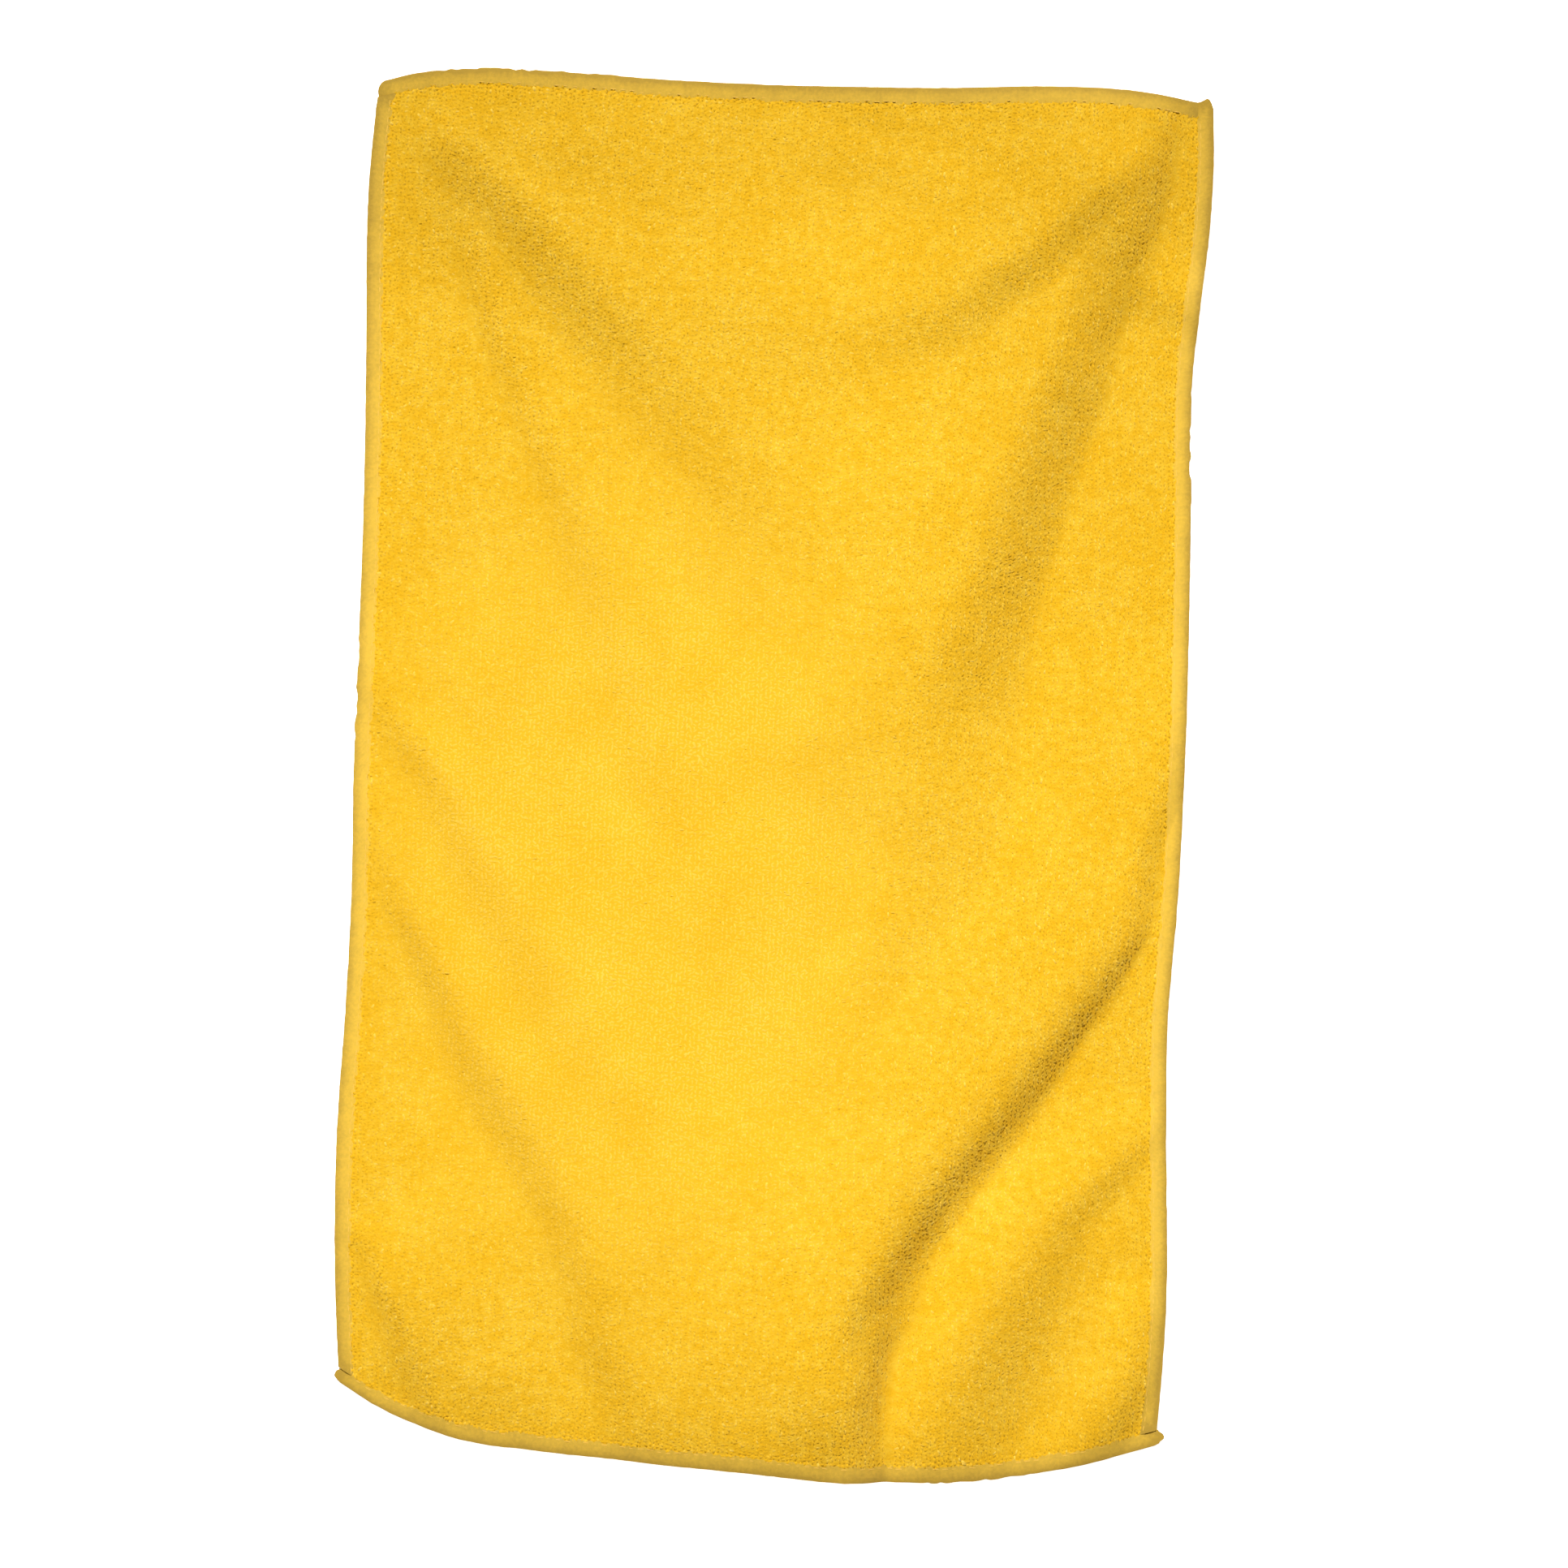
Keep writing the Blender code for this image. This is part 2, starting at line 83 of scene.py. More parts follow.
# A fold's crest is rows of (x, y, height, fall, rise). The cloth falls steeply to the right of
# the way that the crest runs, within fall, and gently to its left, within rise. A crisp of 1
# ends the steep side in a sharp crease, and 0 in a soft one.
Fold = namedtuple("Fold", "name crest crisp")
FOLDS = (
    Fold("low_right", (
        (10, -288, 4.3, 18, 104), (25, -236, 8.9, 18, 162), (27, -214, 8.5, 18, 165),
        (28, -198, 8.2, 16, 168), (28, -179, 7.8, 18, 163), (30, -162, 7.6, 24, 157),
        (37, -143, 7.6, 22, 154), (50, -124, 7.2, 22, 155), (64, -104, 7.0, 22, 152),
        (77, -88, 6.6, 19, 162), (91, -71, 6.2, 15, 164), (104, -53, 5.3, 14, 152),
        (112, -39, 4.6, 14, 133), (118, -17, 3.5, 11, 87), (125, 13, 2.5, 14, 70),
        (135, 61, 0.0, 18, 71),
    ), crisp=0.70),
    Fold("foot_right", (
        (56, -268, 3.2, 32, 53), (59, -224, 5.2, 33, 27), (61, -202, 5.8, 31, 23),
        (67, -182, 6.0, 30, 25), (77, -161, 5.1, 28, 30), (88, -146, 4.0, 21, 34),
        (98, -133, 3.1, 15, 30), (110, -122, 2.3, 13, 30), (122, -109, 1.3, 13, 34),
        (132, -96, 0.0, 11, 44),
    ), crisp=0.18),
    Fold("corner_low", (
        (81, -232, 0.0, 12, 17), (107, -213, 2.3, 14, 18), (116, -199, 3.9, 14, 21),
        (120, -188, 3.9, 14, 20), (123, -171, 2.7, 13, 20), (132, -154, 0.0, 12, 38),
    ), crisp=0.24),
    Fold("shin_right", (
        (100, -164, 0.0, 11, 9), (111, -149, 0.5, 9, 36), (124, -143, 0.3, 10, 20),
        (138, -134, 0.0, 10, 8),
    ), crisp=0.17),
    Fold("shoulder_right", (
        (16, -118, 0.0, 25, 36), (19, -76, 1.1, 19, 51), (31, -48, 1.8, 23, 115),
        (36, -23, 3.2, 33, 103), (39, 4, 6.5, 41, 84), (44, 34, 8.1, 38, 75),
        (53, 55, 8.9, 32, 88), (60, 74, 9.1, 29, 107), (64, 91, 9.1, 30, 106),
        (70, 107, 8.7, 28, 110), (76, 125, 8.4, 28, 121), (83, 141, 8.1, 26, 117),
        (88, 157, 7.1, 22, 108), (94, 172, 5.6, 18, 107), (104, 186, 4.6, 16, 122),
        (110, 197, 4.2, 14, 140), (112, 213, 3.2, 13, 101), (123, 231, 0.0, 5, 40),
    ), crisp=0.60),
    Fold("collar_right", (
        (-28, 141, 0.0, 24, 25), (5, 149, 0.5, 25, 37), (33, 155, 1.8, 23, 46),
        (54, 160, 2.3, 19, 66), (65, 169, 2.7, 17, 66), (76, 175, 2.6, 16, 84),
        (88, 186, 2.5, 15, 80), (103, 198, 2.0, 12, 54), (116, 208, 0.0, 9, 27),
    ), crisp=0.27),
    Fold("nick_right", (
        (98, 171, 0.0, 14, 13), (113, 166, 0.8, 15, 20), (130, 159, 1.5, 14, 16),
        (142, 152, 2.2, 14, 38), (163, 144, 0.0, 14, 12),
    ), crisp=0.21),
    Fold("shoulder_left", (
        (-120, 216, 0.0, 12, 41), (-103, 202, 2.3, 17, 93), (-87, 190, 4.1, 19, 106),
        (-72, 176, 4.2, 23, 138), (-55, 159, 4.1, 26, 122), (-38, 143, 4.4, 30, 109),
        (-24, 127, 3.3, 34, 91), (-8, 115, 1.8, 34, 65), (15, 99, 0.0, 32, 48),
    ), crisp=0.36),
    Fold("strap_left", (
        (-107, 198, 0.0, 11, 9), (-96, 168, 2.5, 13, 50), (-90, 145, 2.9, 13, 66),
        (-81, 126, 2.6, 14, 47), (-71, 103, 2.8, 15, 29), (-61, 81, 2.6, 16, 25),
        (-52, 59, 2.4, 16, 30), (-43, 33, 2.3, 17, 38), (-33, 1, 1.3, 18, 28),
        (-16, -24, 0.0, 16, 14),
    ), crisp=0.26),
    Fold("brow_left", (
        (-124, 53, 0.0, 10, 24), (-109, 42, 0.4, 10, 56), (-98, 26, 0.6, 12, 49),
        (-84, 10, 0.0, 11, 13),
    ), crisp=0.10),
    Fold("waist_left", (
        (-156, 54, 0.0, 11, 35), (-133, 32, 0.9, 11, 99), (-119, 16, 1.7, 12, 99),
        (-107, 4, 2.5, 14, 98), (-96, -11, 3.0, 18, 99), (-84, -30, 3.3, 21, 104),
        (-71, -49, 3.2, 23, 114), (-58, -70, 2.4, 23, 118), (-43, -92, 1.0, 20, 93),
        (-26, -116, 0.0, 20, 30),
    ), crisp=0.32),
    Fold("hip_left", (
        (-145, 13, 0.0, 12, 41), (-126, -18, 1.2, 12, 72), (-114, -41, 2.3, 14, 76),
        (-107, -54, 3.1, 13, 76), (-98, -71, 3.8, 14, 88), (-89, -89, 3.7, 16, 105),
        (-75, -107, 3.4, 19, 106), (-64, -124, 3.1, 18, 96), (-55, -143, 3.2, 16, 97),
        (-48, -162, 3.5, 17, 132), (-43, -180, 3.6, 18, 150), (-34, -196, 2.9, 19, 145),
        (-26, -222, 2.0, 19, 126), (-10, -272, 3.0, 18, 72),
    ), crisp=0.36),
    Fold("foot_left", (
        (-134, -143, 0.0, 9, 46), (-122, -155, 1.4, 9, 38), (-118, -167, 2.2, 9, 42),
        (-110, -180, 2.3, 12, 54), (-104, -194, 2.2, 12, 70), (-99, -206, 2.9, 13, 69),
        (-89, -230, 2.3, 12, 78), (-74, -268, 0.0, 12, 20),
    ), crisp=0.20),
    Fold("belly_crease", (
        (10, -132, 0.0, 17, 33), (20, -154, 1.1, 20, 58), (22, -175, 2.0, 23, 20),
        (24, -197, 2.3, 23, 14), (33, -224, 0.0, 18, 8),
    ), crisp=0.27),
    Fold("foot_drop", (
        (-148, -184, 0.0, 24, 68), (-99, -188, 1.8, 24, 104), (-58, -194, 0.0, 25, 26),
        (2, -203, 3.8, 32, 73), (60, -204, 1.8, 30, 65), (107, -193, 0.0, 24, 44),
        (147, -184, 0.0, 25, 18),
    ), crisp=0.41),
    Fold("top_lift", (
        (-162, 242, 0.0, 103, 12), (-97, 245, 9.7, 102, 40), (-49, 241, 4.0, 108, 34),
        (-1, 246, 3.4, 103, 23), (48, 241, 7.8, 109, 34), (102, 243, 6.4, 107, 40),
        (162, 242, 0.0, 105, 12),
    ), crisp=0.13),
    Fold("top_curl", (
        (-150, 231, 0.0, 21, 8), (-91, 232, 1.2, 24, 16), (-30, 233, 0.5, 20, 16),
        (30, 231, 0.8, 22, 16), (90, 232, 1.9, 23, 16), (151, 230, 0.0, 15, 8),
    ), crisp=0.08),
)

# Narrow creases at the feet of the two boldest folds, too fine for the part.
CREASES = (
    Fold("low_crease", (
        (27, -185, 0.0, 6, 17), (40, -158, 0.4, 6, 12), (48, -147, 0.7, 6, 10),
        (58, -131, 0.7, 6, 9), (68, -117, 0.7, 6, 9), (78, -105, 0.7, 6, 9),
        (87, -93, 0.9, 8, 10), (97, -80, 1.2, 8, 9), (108, -67, 1.4, 7, 10),
        (116, -52, 1.3, 6, 8), (125, -37, 0.0, 5, 11), (143, -12, 0.0, 6, 8),
    ), crisp=0.80),
    Fold("low_hem", (
        (30, -250, 1.0, 7, 9), (34, -230, 1.5, 8, 12), (36, -212, 0.8, 8, 8),
        (37, -195, 1.4, 8, 11), (39, -180, 1.1, 7, 8), (38, -166, 0.0, 7, 8),
    ), crisp=0.52),
    Fold("shoulder_crease", (
        (100, 139, 0.0, 6, 15), (107, 156, 0.9, 7, 15), (112, 176, 1.4, 8, 12),
        (116, 197, 0.3, 6, 23), (120, 210, 0.7, 7, 8), (124, 225, 0.0, 6, 8),
    ), crisp=0.54),
)

# A low round rise of the cloth, with air under it.
Swell = namedtuple("Swell", "name x y reach_x reach_y height")
SWELLS = (
    Swell("belly", x=-32, y=-128, reach_x=185, reach_y=86, height=2.7),
)


def smooth_between(place, stations, values, level_ends=False):
    """A smooth curve through the values at the stations, read at a place, and its slope."""
    stations = np.asarray(stations, float)
    values = np.asarray(values, float)
    slopes = np.gradient(values, stations)
    if level_ends:
        slopes[0] = slopes[-1] = 0.0
    place = np.clip(place, stations[0], stations[-1])
    i = np.clip(np.searchsorted(stations, place) - 1, 0, len(stations) - 2)
    span = stations[i + 1] - stations[i]
    t = (place - stations[i]) / span
    a, b = values[i], values[i + 1]
    p, q = slopes[i] * span, slopes[i + 1] * span
    bend = 3 * (b - a) - 2 * p - q
    twist = 2 * (a - b) + p + q
    value = a + t * (p + t * (bend + t * twist))
    slope = (p + t * (2 * bend + t * 3 * twist)) / span
    return value, slope


def fold_height(fold, x, y):
    """How high one fold lifts the cloth at x, y."""
    crest = np.array(fold.crest, float)
    along = crest[-1, :2] - crest[0, :2]
    along /= np.hypot(*along)
    across = np.array((along[1], -along[0]))
    steps = crest[:, :2] - crest[0, :2]
    stations = steps @ along
    u = (x - crest[0, 0]) * along[0] + (y - crest[0, 1]) * along[1]
    v = (x - crest[0, 0]) * across[0] + (y - crest[0, 1]) * across[1]
    bow, lean = smooth_between(u, stations, steps @ across)
    height, _ = smooth_between(u, stations, crest[:, 2], level_ends=True)
    fall, _ = smooth_between(u, stations, crest[:, 3])
    rise, _ = smooth_between(u, stations, crest[:, 4])
    away = (v - bow) / np.sqrt(1 + lean * lean)
    steep = np.cos(math.pi / 2 * np.clip(away / np.maximum(fall, LEAST_FALL), 0, 1))
    gentle = np.cos(math.pi / 2 * np.clip(-away / np.maximum(rise, LEAST_RISE), 0, 1))
    profile = np.where(away > 0, steep * (fold.crisp + (1 - fold.crisp) * steep), gentle**2)
    inside = (u >= 0) & (u <= stations[-1])
    return np.maximum(height, 0) * profile * inside


def swell_height(swell, x, y):
    """How high one swell lifts the cloth at x, y."""
    reach = np.hypot((x - swell.x) / swell.reach_x, (y - swell.y) / swell.reach_y)
    return swell.height * np.cos(math.pi / 2 * np.clip(reach, 0, 1)) ** 2


def cloth_height(x, y):
    """The underside of the cloth above the surface: every fold and swell, settled to flat."""
    height = sum(fold_height(fold, x, y) for fold in FOLDS + CREASES)
    height = height + sum(swell_height(swell, x, y) for swell in SWELLS)
    lifted = np.maximum(height - SETTLE, 0)
    return lifted * lifted / (lifted + SETTLE)


def cloth_place(across, along):
    """Where a place of the nominal rectangle lies on the real, uneven outline."""
    left, _ = smooth_between(along, *zip(*LEFT_EDGE))
    right, _ = smooth_between(along, *zip(*RIGHT_EDGE))
    bottom, _ = smooth_between(across, *zip(*BOTTOM_EDGE))
    top, _ = smooth_between(across, *zip(*TOP_EDGE))
    rightwards = across / WIDTH + 0.5
    upwards = along / LENGTH + 0.5
    x = across - left * (1 - rightwards) + right * rightwards
    y = along - bottom * (1 - upwards) + top * upwards
    return x, y


def side_place(side, station, inset):
    """A place of the rectangle, by its station along a side and its inset from that side."""
    if side == "left":
        return -WIDTH / 2 + inset, station
    if side == "right":
        return WIDTH / 2 - inset, station
    if side == "bottom":
        return station, -LENGTH / 2 + inset
    return station, LENGTH / 2 - inset


# ---------------------------------------------------------------------------------------
# Small tools of mesh making
# ---------------------------------------------------------------------------------------

SLOPE_STEP = 0.5


def unit(vectors):
    """Vectors made one long."""
    return vectors / np.linalg.norm(vectors, axis=-1, keepdims=True)


def cloth_points(x, y, rise):
    """Points at a rise above the underside of the cloth, in millimetres."""
    return np.stack(np.broadcast_arrays(x, y, cloth_height(x, y) + rise), axis=-1)


def cloth_normals(x, y):
    """The cloth's upward normals."""
    lean_x = cloth_height(x + SLOPE_STEP, y) - cloth_height(x - SLOPE_STEP, y)
    lean_y = cloth_height(x, y + SLOPE_STEP) - cloth_height(x, y - SLOPE_STEP)
    upright = np.full_like(lean_x, 2 * SLOPE_STEP)
    return unit(np.stack([-lean_x, -lean_y, upright], axis=-1))


def lattice(rows, columns, wrap_columns=False):
    """The quads of a lattice of points, counted row by row."""
    row = np.arange(rows - 1)[:, None]
    column = np.arange(columns if wrap_columns else columns - 1)[None, :]
    next_column = (column + 1) % columns
    corners = (
        row * columns + column, row * columns + next_column,
        (row + 1) * columns + next_column, (row + 1) * columns + column,
    )
    return np.stack(np.broadcast_arrays(*corners), axis=-1).reshape(-1, 4)


def new_piece(name, points, faces, finish, chart=None, facing=None, **marks):
    """A smooth mesh object from points in millimetres and faces of one size.

    marks are numbers or vectors for each point, which the finishes read. chart gives each
    face corner its place on the flat map that textures are kept on. facing is the way that
    a soft, fluffy surface faces at each point, where that isn't square to its faces.
    """
    mesh = bpy.data.meshes.new(name)
    corners = faces.shape[1]
    mesh.vertices.add(len(points))
    mesh.vertices.foreach_set("co", (points * MM).astype(np.float32).ravel())
    mesh.loops.add(faces.size)
    mesh.loops.foreach_set("vertex_index", faces.astype(np.int32).ravel())
    mesh.polygons.add(len(faces))
    mesh.polygons.foreach_set("loop_start", np.arange(0, faces.size, corners, dtype=np.int32))
    for mark, values in marks.items():
        kind, field = ("FLOAT", "value") if values.ndim == 1 else ("FLOAT_VECTOR", "vector")
        attribute = mesh.attributes.new(mark, kind, "POINT")
        attribute.data.foreach_set(field, values.astype(np.float32).ravel())
    if chart is not None:
        layer = mesh.uv_layers.new(name="OFBake")
        layer.uv.foreach_set("vector", chart.astype(np.float32).ravel())
    mesh.update(calc_edges=True)
    mesh.validate()
    mesh.shade_smooth()
    if facing is not None:
        mesh.normals_split_custom_set_from_vertices(facing)
    mesh.materials.append(finish)
    obj = bpy.data.objects.new(name, mesh)
    bpy.context.scene.collection.objects.link(obj)
    return obj


# ---------------------------------------------------------------------------------------
# Finishes
# ---------------------------------------------------------------------------------------


class Value:
    """A value that changes over a surface. Python's operators add the nodes that work it."""

    def __init__(self, finish, socket):
        self.finish = finish
        self.socket = socket

    def maths(self, operation, *values):
        """One sum on this value, as a Math node."""
        places = dict(enumerate(values))
        return self.finish.node("Math", {"operation": operation}, places)

    def __add__(self, other):
        return self.maths("ADD", self, other)

    def __radd__(self, other):
        return self.maths("ADD", other, self)

    def __sub__(self, other):
        return self.maths("SUBTRACT", self, other)

    def __rsub__(self, other):
        return self.maths("SUBTRACT", other, self)

    def __mul__(self, other):
        return self.maths("MULTIPLY", self, other)

    def __rmul__(self, other):
        return self.maths("MULTIPLY", other, self)

    def sine(self):
        """The sine of the value, in radians."""
        return self.maths("SINE", self)

    def held(self):
        """The value kept between 0 and 1."""
        return self.finish.node("Clamp", {}, {"Value": self})


class Finish:
    """A material whose pattern is worked out from its nodes."""

    def __init__(self, name, **plain):
        self.material = bpy.data.materials.new(name)
        self.material.use_nodes = True
        self.tree = self.material.node_tree
        self.shader = self.tree.nodes["Principled BSDF"]
        for socket, value in plain.items():
            self.shader.inputs[socket.replace("_", " ")].default_value = value

    def node(self, kind, settings, values, output=0):
        """One node: its settings first, then the values of its sockets or what feeds them."""
        made = self.tree.nodes.new("ShaderNode" + kind)
        for name, setting in settings.items():
            setattr(made, name, setting)
        for place, value in values.items():
            if isinstance(value, Value):
                self.tree.links.new(value.socket, made.inputs[place])
            else:
                made.inputs[place].default_value = value
        return Value(self, made.outputs[output])

    def place(self):
        """The place on the object, in metres."""
        return self.node("TexCoord", {}, {}, "Object")

    def mark(self, name, output="Fac"):
        """A number or vector that the mesh carries."""
        return self.node("Attribute", {"attribute_name": name}, {}, output)

    def noise(self, place, size_mm, detail=2.0, roughness=0.5):
        """Soft uneven clouds about size_mm across, round a half."""
        values = {
            "Vector": place, "Scale": 1 / (size_mm * MM),
            "Detail": detail, "Roughness": roughness,
        }
        return self.node("TexNoise", {}, values)

    def mixed(self, share, first, second):
        """A colour from the first, at a share of 0, to the second, at 1."""
        return self.node("Mix", {"data_type": "RGBA"}, {0: share, 6: first, 7: second}, 2)

    def bump(self, height, depth_mm, strength):
        """Normals that shade the surface as if it rose by the height, depth_mm at most."""
        values = {"Height": height, "Distance": depth_mm * MM, "Strength": strength}
        return self.node("Bump", {}, values)

    def wear(self, **sockets):
        """Feeds the shader's sockets, and returns the finished material."""
        for socket, value in sockets.items():
            self.tree.links.new(value.socket, self.shader.inputs[socket.replace("_", " ")])
        return self.material


def colour(red, green, blue):
    """An opaque colour."""
    return (red, green, blue, 1.0)


# Each colour from where it is deep, or dull, to where it is pale, or bright. Much of the way
# between them is painted light and shade: painted shade low in the loops, in the ground between
# them and round the edging's outside, and painted light on the loops' crowns and the calm middle.
LOOP_DEEP, LOOP_PALE = colour(0.80, 0.452, 0.005), colour(0.895, 0.585, 0.066)
GROUND_DEEP, GROUND_PALE = colour(0.79, 0.435, 0.004), colour(0.86, 0.535, 0.026)
THREAD_BRIGHT, THREAD_SHADE_AND_DULL = colour(0.865, 0.545, 0.051), colour(0.50, 0.312, 0.035)
NEEDLE_DEEP, NEEDLE_PALE = colour(0.86, 0.52, 0.05), colour(0.93, 0.60, 0.12)
CLOTH_SHEEN = colour(1.0, 0.86, 0.5)
THREAD_SHEEN = colour(1.0, 0.9, 0.65)

# How much paler each thing makes the colour, where 1 is all the way from deep to pale. The
# crown light and the calm middle's paleness are painted light.
CROWN_LIGHT_PALER = 0.55
CROWN_LIGHT_LOST_TO_CALM = 0.3
CALM_PAINTED_LIGHT = 0.71
FIBRES_PALER = 0.2
CLUSTERS_PALER = 3.0
CLUSTERS_LOST_TO_CALM = 0.83
PATCHES_PALER = 0.9
GROUND_PALER = 0.4
TUFTS_PALER = 0.6

# How large each pattern is, in millimetres.
FIBRE_SIZE = 0.35
CLUSTER_SIZE = 3.0
PATCH_SIZE = 22.0
TUFT_SIZE = 0.8

# The thread's wraps, how far its fuzz shifts them in radians, and what dulls it.
THREAD_PITCH = 0.33
THREAD_FUZZ_SIZE = 1.1
THREAD_PATCH_SIZE = 5.0
FUZZ_SHIFTS_WRAPS = 5.0
WRAPS_DULLER = 0.07
FUZZ_DULLER = 0.9
THREAD_PATCHES_DULLER = 0.5
NEEDLE_FUZZ_SIZE = 0.4


def cloud_patches(finish, calm):
    """Where the pile lies paler: small clusters of loops within wide soft patches."""
    place = finish.place()
    clusters = finish.noise(place, CLUSTER_SIZE, detail=3.0, roughness=0.7)
    patches = finish.noise(place, PATCH_SIZE, detail=2.0)
    clusters = (clusters - 0.5) * CLUSTERS_PALER * (1 - calm * CLUSTERS_LOST_TO_CALM)
    return clusters + (patches - 0.5) * PATCHES_PALER


def pile_finish():
    """Microfibre loops: deep yellow low down and paler and fuzzier at their tips, painted shade
    between the loops and painted light on their crowns, and paler over the calm middle, as a
    pool of painted light.
    """
    pile = Finish(
        "terry_pile", Roughness=0.9, Specular_IOR_Level=0.2,
        Sheen_Weight=0.2, Sheen_Roughness=0.6, Sheen_Tint=CLOTH_SHEEN,
    )
    fibres = pile.noise(pile.place(), FIBRE_SIZE, detail=2.0)
    # Painted light, pale on each loop's crown and less so at its feet, with painted shade low on
    # its sides.
    tip = pile.mark("tip")
    tint = pile.mark("tint")
    calm = pile.mark("calm")
    # The calm middle painted paler, a pool of painted light, against deeper loops round it.
    paleness = tip * (CROWN_LIGHT_PALER - calm * CROWN_LIGHT_LOST_TO_CALM) + tint + calm * CALM_PAINTED_LIGHT
    paleness = paleness + cloud_patches(pile, calm) + (fibres - 0.5) * FIBRES_PALER
    dye = pile.mixed(paleness.held(), LOOP_DEEP, LOOP_PALE)
    return pile.wear(Base_Color=dye, Normal=pile.bump(fibres, 0.04, 0.4))


def ground_finish():
    """The low pile and weave between the loops, in the deep colour of their roots, which is
    painted shade between the loops.
    """
    ground = Finish(
        "terry_ground", Roughness=0.95, Specular_IOR_Level=0.2,
        Sheen_Weight=0.15, Sheen_Roughness=0.6, Sheen_Tint=CLOTH_SHEEN,
    )
    tufts = ground.noise(ground.place(), TUFT_SIZE, detail=3.0, roughness=0.6)
    calm = ground.mark("calm")
    paleness = (tufts - 0.5) * TUFTS_PALER + cloud_patches(ground, calm) + GROUND_PALER
    dye = ground.mixed(paleness.held(), GROUND_DEEP, GROUND_PALE)
    return ground.wear(Base_Color=dye, Normal=ground.bump(tufts, 0.3, 0.6))


def thread_finish():
    """Textured sewing thread, laid side by side across the edge, with painted shade round its
    outside.
    """
    thread = Finish(
        "edging_thread", Roughness=0.75, Specular_IOR_Level=0.25,
        Sheen_Weight=0.1, Sheen_Roughness=0.5, Sheen_Tint=THREAD_SHEEN,
    )
    run = thread.mark("run", "Vector")
    along = thread.node("SeparateXYZ", {}, {"Vector": run}, "X")
    fuzz = thread.noise(thread.place(), THREAD_FUZZ_SIZE, detail=3.0, roughness=0.6)
    wraps = along * (2 * math.pi / (THREAD_PITCH * MM)) + fuzz * FUZZ_SHIFTS_WRAPS
    wraps = wraps.sine()
    # Painted shade round the edging's outside and along each run, with the thread duller at the
    # run's ends, to which the thread's own patches, wraps and fuzz are added.
    shade_and_dullness = thread.mark("dull")
    patches = thread.noise(thread.place(), THREAD_PATCH_SIZE, detail=2.0)
    shade_and_dullness = shade_and_dullness + (patches - 0.5) * THREAD_PATCHES_DULLER
    shade_and_dullness = shade_and_dullness + wraps * WRAPS_DULLER + (fuzz - 0.5) * FUZZ_DULLER
    dye = thread.mixed(shade_and_dullness.held(), THREAD_BRIGHT, THREAD_SHADE_AND_DULL)
    return thread.wear(Base_Color=dye, Normal=thread.bump(wraps * 0.5 + fuzz, 0.05, 0.5))


def needle_finish():
    """The needle thread, a little paler than the threads that it holds down."""
    needle = Finish(
        "needle_thread", Roughness=0.7, Specular_IOR_Level=0.25,
        Sheen_Weight=0.1, Sheen_Roughness=0.5, Sheen_Tint=THREAD_SHEEN,
    )
    fuzz = needle.noise(needle.place(), NEEDLE_FUZZ_SIZE, detail=2.0)
    dye = needle.mixed(fuzz, NEEDLE_DEEP, NEEDLE_PALE)
    return needle.wear(Base_Color=dye, Normal=needle.bump(fuzz, 0.04, 0.5))


# ---------------------------------------------------------------------------------------
# The cloth's ground
# ---------------------------------------------------------------------------------------

GROUND_CELL = 3.0
GROUND_TOP = 2.0
GROUND_BOTTOM = 0.15
GROUND_INSET = 1.8

# The ground is pressed thinner under the edging and within a short reach of it: this far
# down from its top, and this far up from its bottom.
PRESS_REACH = 3.0
PRESSED_DOWN = 0.15
PRESSED_UP = 0.75

# The middle of the calm pile, how far it reaches, and how strong it is. Above 1, the calm is
# full over a wide middle. The loops are painted paler over it, a pool of painted light, and
# deeper beyond it, painted shade towards the towel's ends.
CALM_X, CALM_Y = -45.0, -30.0
CALM_REACH_X, CALM_REACH_Y = 130.0, 190.0
CALM_STRENGTH = 1.6


def calm_share(x, y):
    """How far the pile is brushed flat and even, as it is over the middle of the towel, and
    painted paler there, as painted light.
    """
    reach = np.hypot((x - CALM_X) / CALM_REACH_X, (y - CALM_Y) / CALM_REACH_Y)
    return np.clip(CALM_STRENGTH * np.cos(math.pi / 2 * np.clip(reach, 0, 1)) ** 2, 0, 1)


